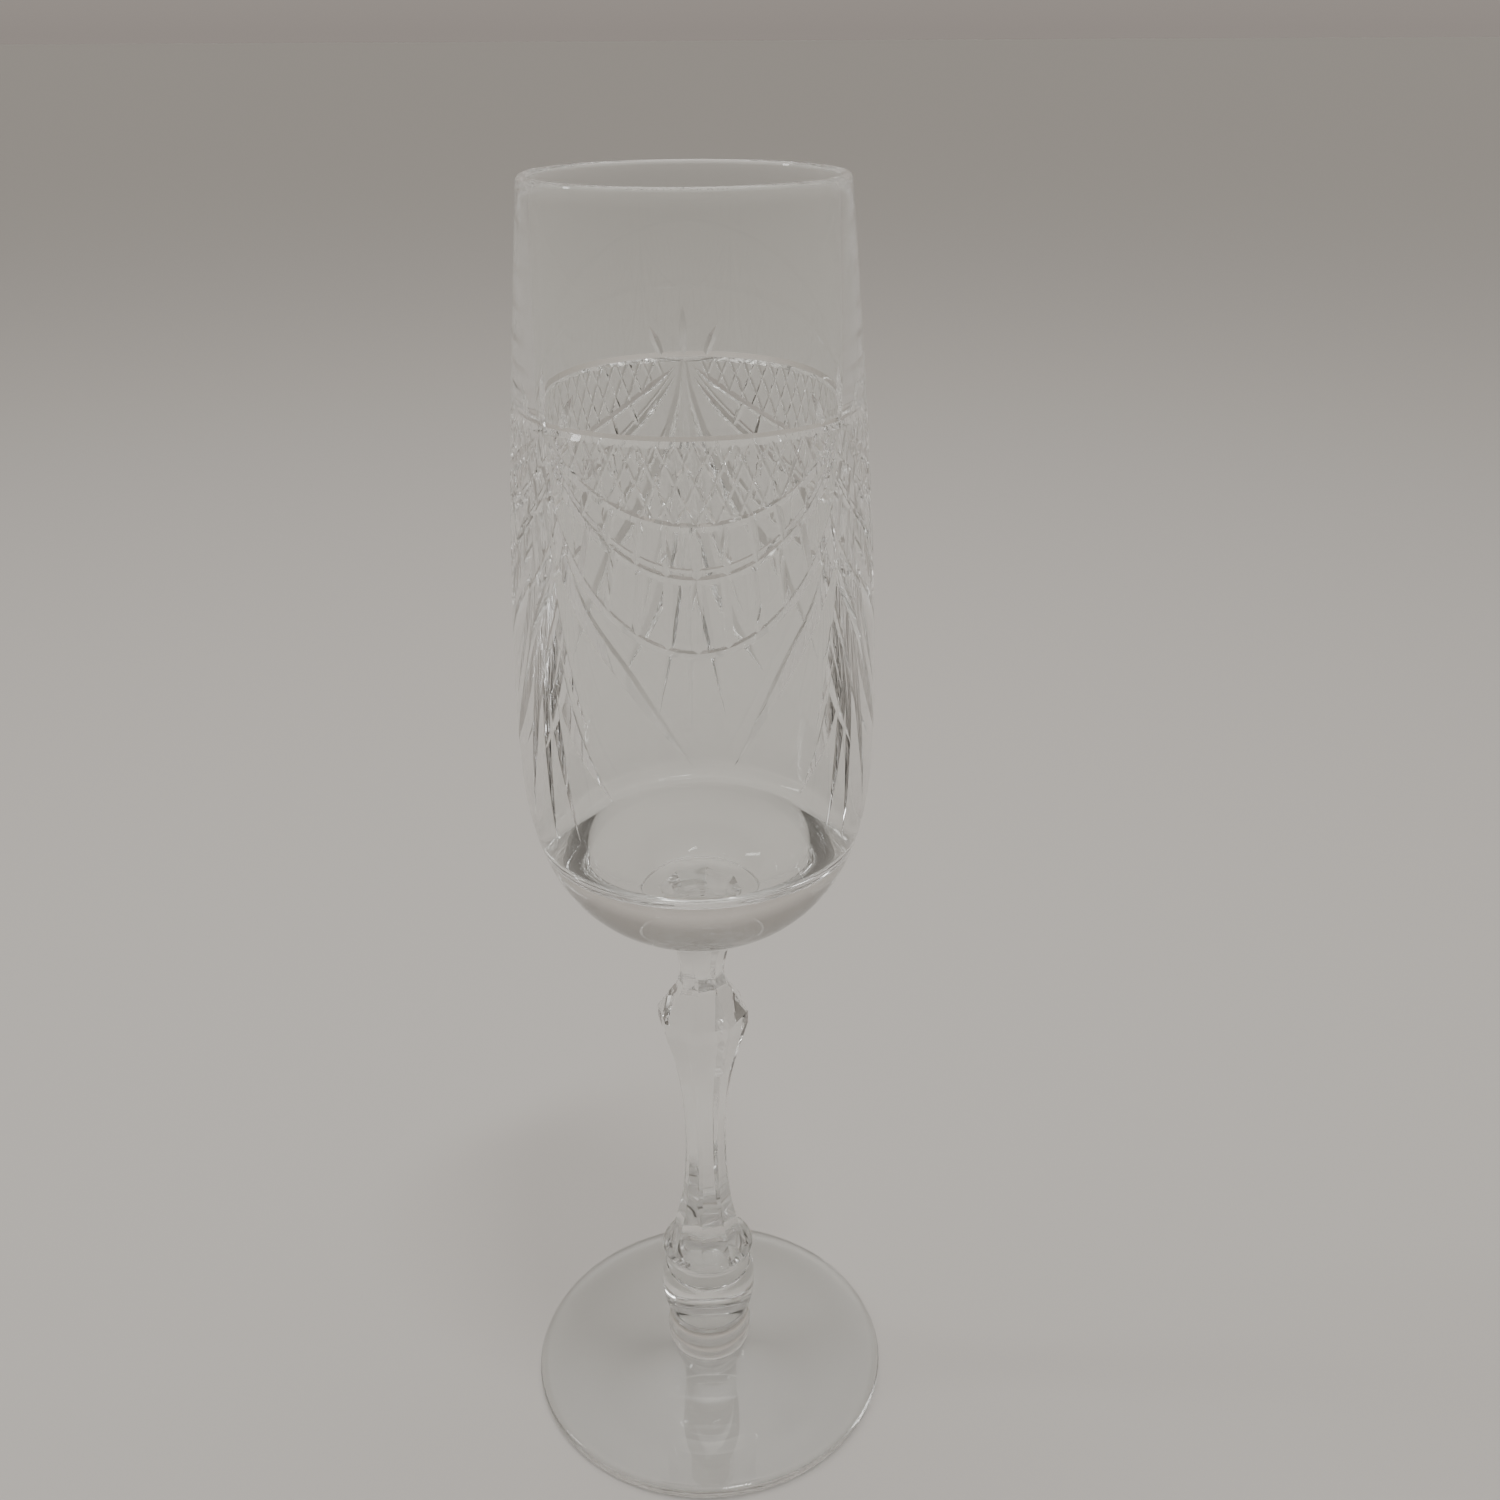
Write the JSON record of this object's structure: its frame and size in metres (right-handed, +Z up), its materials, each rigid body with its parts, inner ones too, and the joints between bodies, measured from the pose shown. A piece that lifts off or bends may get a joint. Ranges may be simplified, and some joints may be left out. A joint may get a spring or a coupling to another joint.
{
  "type": "champagne flute",
  "caption": "Tall cut-crystal champagne flute: barrel bowl with swag and fan cutting, faceted baluster stem, ringed knop and disc foot.",
  "frame": {"origin": "centre of the foot's underside, on the surface the glass stands on", "axes": "+Z up along the glass's axis, from the foot to the rim; -Y faces the middle of the front cut panel"},
  "size_m": [0.0668, 0.0668, 0.22],
  "materials": {
    "bowl_crystal": "clear lead crystal, blown, the cuts acid polished",
    "stem_crystal": "clear lead crystal, cut and polished facets",
    "foot_crystal": "clear lead crystal, fire polished edge"
  },
  "bodies": {
    "root": {"bowl": "bowl_crystal", "stem": "stem_crystal", "collar": "stem_crystal", "knop": "stem_crystal", "hub": "stem_crystal", "foot": "foot_crystal"}
  },
  "joints": []
}
